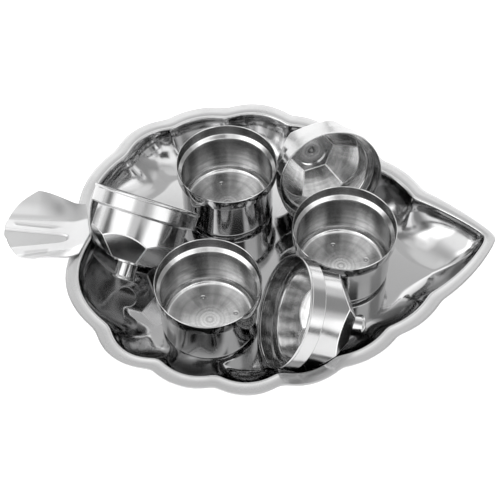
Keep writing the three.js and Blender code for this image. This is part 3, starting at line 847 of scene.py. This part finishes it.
# %% Cup profiles
def cup_profiles():
    lip = CUP_HEIGHT - CUP_WALL / 2
    outside = [(0, 0), (CUP_BODY - CUP_CORNER, 0)]
    inside = [(CUP_RIM - CUP_WALL / 2, CUP_HEIGHT), (CUP_RIM - CUP_WALL, lip),
              (CUP_RIM - CUP_WALL, BAND_FOOT + STEP_LIFT),
              (CUP_BODY - CUP_WALL, BAND_FOOT - CUP_STEP + STEP_LIFT)]
    turns = [math.pi / 2 * i / CORNER_STEPS for i in range(1, CORNER_STEPS + 1)]
    small = CUP_CORNER - CUP_WALL
    centre = CUP_BODY - CUP_CORNER
    outside += [(centre + CUP_CORNER * math.sin(t), CUP_CORNER * (1 - math.cos(t)))
                for t in turns]
    outside += [(CUP_BODY, BAND_FOOT - CUP_STEP), (CUP_RIM, BAND_FOOT), (CUP_RIM, lip),
                (CUP_RIM - CUP_WALL / 2, CUP_HEIGHT)]
    inside += [(centre + small * math.sin(t), CUP_CORNER - small * math.cos(t))
               for t in reversed(turns)]
    inside += [(centre, CUP_WALL), (0, CUP_WALL)]
    return [round_corners(profile, CUP_ROUNDING) for profile in (outside, inside)]


print("points of the cup's profiles:", [len(profile) for profile in cup_profiles()])

# %% [markdown]
# A cup has two finishes. Each stop of the inside's painted light is a height over the foot in mm
# with its brightness: the floor and the step are painted bright, and the wall and the band are
# painted grey, by how the light falls on them. The values were set beside the photograph.

# %% Cup steels
# painted light of the cup's inside: height over the foot in mm, and the brightness painted there
CUP_PAINTED_LIGHT = [(0, 0.85), (2.0, 0.85), (4.5, 0.34), (24.5, 0.22), (25.6, 0.68), (27.0, 0.7),
             (28.0, 0.26), (32.8, 0.3), (33.4, 0.7)]
cup_outside = mirror_steel("cup outside", roughness=0.06, wave_scale=55, wave_depth=0.08,
                           turned=True)
cup_inside = spun_steel("cup inside", roughness=0.2, ring_depth=0.03, full_height=CUP_HEIGHT,
                        stops=CUP_PAINTED_LIGHT, tool_marks=0.2, pips_at=(4, 0.0135, 0.0014))


# %% [markdown]
# The three cups are alike, and each stands where its CAD node stands, so its place is read from
# the node's box. The material index tells outside from inside.


# %% Cups
def build_cup(node):
    low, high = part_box(node)
    bm = bmesh.new()
    for material_index, profile in enumerate(cup_profiles()):
        spin_profile(bm, profile, material_index)
    keep_turned(bm)
    face_outwards(bm)
    middle = Vector(((low[0] + high[0]) / 2, (low[1] + high[1]) / 2, low[2]))
    bmesh.ops.translate(bm, verts=bm.verts[:], vec=middle)
    return bm


for node, body in (("cup_back", "back_cup"), ("cup_right", "right_cup"),
                   ("cup_front", "front_cup")):
    finish_piece(build_cup(node), node + "_skin", body, node,
                 [cup_outside, cup_inside], hard_angle=40)

# %% [markdown]
# A lid is a round shell whose top was pressed into six flat facets, which cut the round wall
# in arches. Cutting the shell with a boolean would leave slivers. Here the round shell is spun
# first, and six planes at 45 degrees cut it, as a sculptor would slice clay. Each cut is closed
# with one flat face, and the wall gets its thickness inwards at the end.

# %% Lid sizes
LID_WALL, LID_SKIRT, LID_SKIRT_RADIUS, LID_BODY, LID_BEAD = 0.6, 8.6, 27, 23.3, 0.5
LID_LIP, LID_BEAD_FOOT, LID_BEAD_TOP, LID_BEAD_END, LID_SHOULDER = 0.2, 0.35, 1.2, 1.5, 0.6
LID_FACETS, LID_FACET_START, LID_HEIGHT, COLLAR_RADIUS, COLLAR_HEIGHT = 6, 20, 32.5, 9, 0.9
LID_ROUNDING, FOLD_ANGLES, FOLD_CHAMFER = 0.3, (40, 60), 0.4
# centre of the opening, bearing and dip of the knob end, and the turn about the lid's own axis
LID_PLACES = {"left": ((-51.8, 12.2, 33.49), -109.8, 35.8, -4),
              "back": ((40.45, 29.85, 29.80), 108.5, 19.6, -5),
              "front": ((17.12, -51.86, 31.14), 6.8, 26.2, -10)}
print("lid, mm:", 2 * LID_SKIRT_RADIUS, "across,", LID_HEIGHT, "high")


# %% Lid profile and place
def lid_profile():
    skirt = LID_SKIRT_RADIUS
    points = [(skirt - LID_LIP, 0), (skirt + LID_BEAD_FOOT, 0), (skirt + LID_BEAD, LID_BEAD),
              (skirt + LID_BEAD_FOOT, LID_BEAD_TOP), (skirt, LID_BEAD_END),
              (skirt, LID_SKIRT - LID_SHOULDER), (skirt - LID_SHOULDER, LID_SKIRT),
              (LID_BODY + LID_SHOULDER, LID_SKIRT), (LID_BODY, LID_SKIRT + LID_SHOULDER),
              (LID_BODY, LID_HEIGHT)]
    return round_corners(points, LID_ROUNDING)


def lid_place(name):
    centre, bearing, dip, turn = LID_PLACES[name]
    place = Matrix.Translation(Vector(centre) * MM)
    place = place @ Matrix.Rotation(math.radians(bearing), 4, "Z")
    place = place @ Matrix.Rotation(math.radians(90 + dip), 4, "Y")
    return place @ Matrix.Rotation(math.radians(turn), 4, "Z")


print("points of the lid's profile:", len(lid_profile()))


# %% [markdown]
# The folds of the facets get a narrow chamfer with a material of its own, painted pale as a
# highlight where the bent steel catches the light. They are found by their angle: two facets meet
# at 41 degrees, and a facet meets the round wall and the flat end at 45 to 52. The flat end
# carries a low round collar, on which the knob is fixed. It is drawn as a circle in the end face,
# and the ring between the circle and the edge is filled with triangles.


# %% Lid: facets, folds and collar
def cut_facets(bm):
    rim = [e for e in bm.edges if e.is_boundary and e.verts[0].co.z > LID_HEIGHT * MM * 0.9]
    bmesh.ops.edgeloop_fill(bm, edges=rim)
    for i in range(LID_FACETS):
        angle = math.radians(360 / LID_FACETS * i)
        out = Vector((math.cos(angle), math.sin(angle), 0))
        on_plane = (out * LID_BODY + Vector((0, 0, LID_FACET_START))) * MM
        slope = (out + Vector((0, 0, 1))).normalized()
        cut = bmesh.ops.bisect_plane(bm, geom=bm.verts[:] + bm.edges[:] + bm.faces[:],
                                     dist=0.001 * MM, plane_co=on_plane, plane_no=slope,
                                     clear_outer=True)
        seam = [g for g in cut["geom_cut"] if isinstance(g, bmesh.types.BMEdge)]
        bmesh.ops.edgeloop_fill(bm, edges=seam)


def chamfer_folds(bm):
    folded = [e for e in bm.edges if len(e.link_faces) == 2
              and FOLD_ANGLES[0] < math.degrees(e.calc_face_angle()) < FOLD_ANGLES[1]]
    made = bmesh.ops.bevel(bm, geom=folded, offset=FOLD_CHAMFER * MM, offset_type="OFFSET",
                           affect="EDGES", segments=1, profile=0.5, material=-1)
    for face in made["faces"]:
        face.material_index = 2
    print("edges in the folds:", len(folded))


def raise_collar(bm):
    end = max(bm.faces, key=lambda f: f.calc_center_median().z)
    ring = bmesh.ops.create_circle(bm, cap_ends=False, radius=COLLAR_RADIUS * MM, segments=72,
                                   matrix=Matrix.Translation((0, 0, LID_HEIGHT * MM)))
    circle = list({e for v in ring["verts"] for e in v.link_edges})
    border = list(end.edges)
    bmesh.ops.delete(bm, geom=[end], context="FACES_ONLY")
    bmesh.ops.triangle_fill(bm, edges=border + circle, use_beauty=True)
    inner = [f for f in bm.faces if all(v in ring["verts"] for v in f.verts)]
    if inner:
        bmesh.ops.delete(bm, geom=inner, context="FACES_ONLY")
    raised = bmesh.ops.extrude_edge_only(bm, edges=circle)["geom"]
    raised_verts = [g for g in raised if isinstance(g, bmesh.types.BMVert)]
    raised_edges = [g for g in raised if isinstance(g, bmesh.types.BMEdge)
                    and all(v in raised_verts for v in g.verts)]
    bmesh.ops.translate(bm, verts=raised_verts, vec=(0, 0, COLLAR_HEIGHT * MM))
    bmesh.ops.edgeloop_fill(bm, edges=raised_edges)


def build_lid(name):
    bm = bmesh.new()
    spin_profile(bm, lid_profile(), steps=144)
    cut_facets(bm)
    chamfer_folds(bm)
    raise_collar(bm)
    keep_turned(bm)
    face_outwards(bm)
    bmesh.ops.transform(bm, matrix=lid_place(name), verts=bm.verts[:])
    return bm


# %% [markdown]
# Inside a lid, two neighbouring facets meet in a soft crease that catches the light as a thin
# line, and that line is painted in as a highlight. The group measures how far a point is from the
# nearest of the six creases. Geometry would need another bevel on the inner wall, which the
# Solidify modifier makes only later, so the crease is drawn in the finish.

# %% Node group: facet creases
folds, folds_in, folds_out = new_group(
    "facet creases",
    [("Radius", "NodeSocketFloat", 0.0), ("Angle", "NodeSocketFloat", 0.0),
     ("Height above rim", "NodeSocketFloat", 0.0), ("First height", "NodeSocketFloat", 0.0225),
     ("End radius", "NodeSocketFloat", 0.0122), ("Half width", "NodeSocketFloat", 0.0005)],
    [("Line", "NodeSocketFloat")])
turned_off = reckon(folds, "SUBTRACT", folds_in.outputs["Angle"], math.pi / 6)
turned_off = reckon(folds, "WRAP", turned_off, math.pi / 6, -math.pi / 6)
off_line = reckon(folds, "MULTIPLY", turned_off, folds_in.outputs["Radius"])
off_line = reckon(folds, "ABSOLUTE", off_line, 0)
off_line = reckon(folds, "DIVIDE", off_line, folds_in.outputs["Half width"])
line = ramp(folds, off_line, 0.0, 1.0, 1.0, 0.0, smooth=True)
above = reckon(folds, "GREATER_THAN", folds_in.outputs["Height above rim"],
               folds_in.outputs["First height"])
beside = reckon(folds, "GREATER_THAN", folds_in.outputs["Radius"],
                folds_in.outputs["End radius"])
on_facet = reckon(folds, "MULTIPLY", above, beside)
folds.links.new(reckon(folds, "MULTIPLY", line, on_facet), folds_out.inputs["Line"])
print("group:", folds.name)

# %% [markdown]
# The creases are laid over the finished inside of a lid: a painted highlight line in the shade,
# and a small ridge in the bump. The radius and the angle are the ones that the spun rings use.

# %% Creases on the inside of a lid
CREASE_PAINTED_HIGHLIGHT, CREASE_DEPTH = 1.1, 0.25


def highlight_facet_creases(material):
    tree = material.node_tree
    shader = tree.nodes["Principled BSDF"]
    press = feeding(shader, "Normal").node
    dots = feeding(press, "Height").node
    marks = feeding(dots, "Radius").node
    height = put(tree, "ShaderNodeSeparateXYZ", [(0, feeding(marks, "Turned"))]).outputs["Z"]
    bend = put(tree, "ShaderNodeGroup", [("Radius", marks.outputs["Radius"]),
               ("Angle", marks.outputs["Angle"]), ("Height above rim", height)],
               node_tree=folds)
    # painted highlight along each crease
    lay_over(material, reckon(tree, "MULTIPLY_ADD", bend.outputs["Line"], CREASE_PAINTED_HIGHLIGHT, 1.0))
    ridge = put(tree, "ShaderNodeBump", [("Height", bend.outputs["Line"]),
                ("Normal", press.outputs[0])], in_Strength=1.0,
                in_Distance=CREASE_DEPTH * MM)
    tree.links.new(ridge.outputs[0], shader.inputs["Normal"])
    print("creases:", material.name)


# %% [markdown]
# A lid has three finishes: a softly buffed outside, an inside with rings, one pip in its end and
# painted highlights on the creases, and the folds, painted pale as highlights. The stops of its
# painted light are heights over the mouth in mm.

# %% Lid steels
# painted light of the lid's inside: height over the mouth in mm, and the brightness painted there
LID_PAINTED_LIGHT = [(0, 0.5), (1.5, 0.36), (7.5, 0.32), (9.5, 0.75), (12, 0.5), (20, 0.5), (29, 0.66),
             (31, 0.85)]
lid_outside = mirror_steel("lid outside", roughness=0.17, wave_scale=55, wave_depth=0.08,
                           turned=True)
lid_inside = spun_steel("lid inside", roughness=0.17, ring_depth=0.02,
                        full_height=LID_HEIGHT + COLLAR_HEIGHT, stops=LID_PAINTED_LIGHT,
                        tool_marks=0.3, pips_at=(1, 0.0, 0.0028))
highlight_facet_creases(lid_inside)
# painted highlight on the folds: 1.6 times as light as the steel
lid_fold_highlight = mirror_steel("lid edge", roughness=0.45, wave_scale=55, wave_depth=0.02,
                        brightness=1.6, turned=True)

# %% [markdown]
# The knob is a small turned cap with a lip at its outer end. It is hollow from below, and a
# hairline of 0.3 mm stays free between it and the collar, as in the CAD model, because the two
# are separate pieces. Its profile is closed, so it needs no modifier for its thickness.

# %% Knob
KNOB_RADIUS, KNOB_LIP, KNOB_LENGTH, KNOB_WALL, KNOB_SEAT = 5.3, 0.5, 8.6, 0.6, 0.3
KNOB_NECK, KNOB_LIP_FOOT, KNOB_LIP_TOP, KNOB_CROWN = 1.8, 1.0, 0.3, 0.1
knob_steel = mirror_steel("knob steel", roughness=0.16, wave_scale=60, wave_depth=0.03,
                          turned=True)


def build_knob(name):
    foot = LID_HEIGHT + COLLAR_HEIGHT + KNOB_SEAT
    top = foot + KNOB_LENGTH
    bore = KNOB_RADIUS - KNOB_WALL
    points = [(0, top - KNOB_WALL), (bore, top - KNOB_WALL), (bore, foot), (KNOB_RADIUS, foot),
              (KNOB_RADIUS, top - KNOB_NECK), (KNOB_RADIUS + KNOB_LIP, top - KNOB_LIP_FOOT),
              (KNOB_RADIUS + KNOB_LIP, top - KNOB_LIP_TOP), (KNOB_RADIUS - KNOB_CROWN, top),
              (0, top)]
    bm = bmesh.new()
    spin_profile(bm, round_corners(points, LID_ROUNDING), steps=72)
    keep_turned(bm)
    face_outwards(bm)
    bmesh.ops.transform(bm, matrix=lid_place(name), verts=bm.verts[:])
    return bm


# %% [markdown]
# Lids and knobs are made in pairs. The modifier gives the inner wall the material one slot
# further on, so the outside is buffed and the inside shows rings.

# %% Lids and knobs
for name in LID_PLACES:
    lid = finish_piece(build_lid(name), f"lid_{name}_skin", f"{name}_lid", f"lid_{name}",
                       [lid_outside, lid_inside, lid_fold_highlight], hard_angle=14,
                       thickness=LID_WALL * MM)
    lid.modifiers["sheet"].material_offset = 1
    finish_piece(build_knob(name), f"knob_{name}_skin", f"{name}_lid", f"knob_{name}",
                 [knob_steel], hard_angle=35)

# %% [markdown]
# The floor is a plain pale sheet that fades into white. A white background alone would let the
# plate float, because only a surface takes a shadow. So the sheet glows for the camera and for
# reflections, reads as white paper, and still takes the plate's soft shadow.

# %% Floor
FLOOR_HALF, PAPER_SHADE, PAPER_ROUGHNESS, PAPER_GLOW = 3, 0.8, 0.9, 0.6

bm = bmesh.new()
bmesh.ops.create_grid(bm, x_segments=1, y_segments=1, size=FLOOR_HALF)
floor_mesh = bpy.data.meshes.new("floor")
bm.to_mesh(floor_mesh)
bm.free()
floor = bpy.data.objects.new("floor", floor_mesh)
bpy.context.scene.collection.objects.link(floor)

paper = bpy.data.materials.new("white paper")
paper.use_nodes = True
tree = paper.node_tree
shader = tree.nodes["Principled BSDF"]
shader.inputs["Base Color"].default_value = (PAPER_SHADE, PAPER_SHADE, PAPER_SHADE, 1)
shader.inputs["Roughness"].default_value = PAPER_ROUGHNESS
shader.inputs["Emission Color"].default_value = (1, 1, 1, 1)
path = put(tree, "ShaderNodeLightPath")
seen = reckon(tree, "MAXIMUM", path.outputs["Is Camera Ray"], path.outputs["Is Glossy Ray"])
seen = reckon(tree, "MAXIMUM", seen, path.outputs["Is Transmission Ray"])
tree.links.new(reckon(tree, "MULTIPLY", seen, PAPER_GLOW), shader.inputs["Emission Strength"])
floor.data.materials.append(paper)
print("floor, m:", 2 * FLOOR_HALF, "wide")

# %% [markdown]
# Polished steel looks like whatever stands round it, so the studio matters more than the
# metal. The world is a white tent, given by direction. Its cloth is a little brighter where a
# lamp stands behind it, and darker where it opens: for the camera, at the two ends of the table
# and between the sheets. Lamps and cards round the plate would do too, but each would need a
# place of its own and leave a hard edge in the steel. The group paints one soft-edged patch
# over the tent painted so far.

# %% Node group: tent patch
patch, patch_in, patch_out = new_group(
    "tent patch",
    [("Below", "NodeSocketFloat", 1.0), ("Azimuth", "NodeSocketFloat", 0.0),
     ("Elevation", "NodeSocketFloat", 0.0), ("Middle azimuth", "NodeSocketFloat", 0.0),
     ("Middle elevation", "NodeSocketFloat", 0.0), ("Half width", "NodeSocketFloat", 30.0),
     ("Half height", "NodeSocketFloat", 10.0), ("Softness", "NodeSocketFloat", 3.0),
     ("Level", "NodeSocketFloat", 1.0)],
    [("Value", "NodeSocketFloat")])
turn = reckon(patch, "SUBTRACT", patch_in.outputs["Azimuth"], patch_in.outputs["Middle azimuth"])
turn = reckon(patch, "WRAP", turn, 180.0, -180.0)
rise = reckon(patch, "SUBTRACT", patch_in.outputs["Elevation"],
              patch_in.outputs["Middle elevation"])
shares = []
for distance, label in ((turn, "Half width"), (rise, "Half height")):
    reach = reckon(patch, "ABSOLUTE", distance, 0)
    over = reckon(patch, "SUBTRACT", patch_in.outputs[label], reach)
    share = reckon(patch, "DIVIDE", over, patch_in.outputs["Softness"])
    shares.append(ramp(patch, share, -0.5, 0.5, 0, 1, smooth=True))
mask = reckon(patch, "MULTIPLY", *shares)
change = reckon(patch, "SUBTRACT", patch_in.outputs["Level"], patch_in.outputs["Below"])
value = reckon(patch, "MULTIPLY_ADD", change, mask, patch_in.outputs["Below"])
patch.links.new(value, patch_out.inputs["Value"])
print("group:", patch.name)

# %% [markdown]
# The patches were placed by looking for each bright or dark form in the photograph's steel, and
# asking which direction it mirrors. Azimuth 90 is behind the plate and -90 in front of it.

# %% World
TENT_LEVEL = 0.95
PATCH_VALUES = ("Middle azimuth", "Middle elevation", "Half width", "Half height", "Softness",
                "Level")
# the angles in degrees, and the level, in the order of the patch values
PATCHES = {
    "upper back sheet": (88, 60, 60, 9, 6, 0.7),
    "back sheet": (88, 25, 38, 26, 7, 1.65),
    "left lamp": (-146, 36, 26, 25, 16, 2.0),
    "right lamp": (-44, 24, 20, 21, 12, 1.9),
    "right end": (10, 26, 20, 34, 12, 0.4),
    "left end": (172, 26, 12, 16, 7, 0.15),
    "left seam": (160, 57, 16, 5, 5, 0.3),
    "camera opening": (-66, 52, 21, 9, 7, 0.05),
    "back table edge": (90, -1, 60, 3, 2, 0.2),
    "front table edge": (-90, 3, 60, 6, 4, 0.12),
}

world = bpy.data.worlds.new("studio")
world.use_nodes = True
bpy.context.scene.world = world
tree = world.node_tree
tent = tree.nodes["Background"]
tent.inputs["Color"].default_value = (1, 1, 1, 1)
direction = put(tree, "ShaderNodeTexCoord").outputs["Generated"]
parts = put(tree, "ShaderNodeSeparateXYZ", [(0, direction)])
azimuth = reckon(tree, "ARCTAN2", parts.outputs["Y"], parts.outputs["X"])
azimuth = reckon(tree, "MULTIPLY", azimuth, 180 / math.pi)
elevation = reckon(tree, "ARCSINE", parts.outputs["Z"], 0)
elevation = reckon(tree, "MULTIPLY", elevation, 180 / math.pi)
below = None
for values in PATCHES.values():
    painted = put(tree, "ShaderNodeGroup", [("Azimuth", azimuth), ("Elevation", elevation)],
                  node_tree=patch, in_Below=TENT_LEVEL)
    for label, value in zip(PATCH_VALUES, values):
        painted.inputs[label].default_value = value
    if below:
        tree.links.new(below, painted.inputs["Below"])
    below = painted.outputs[0]
tree.links.new(below, tent.inputs["Strength"])
print("patches:", len(PATCHES))

# %% [markdown]
# The Standard view shows a colour as bright as it is written.

# %% Picture settings
bpy.context.scene.view_settings.view_transform = "Standard"
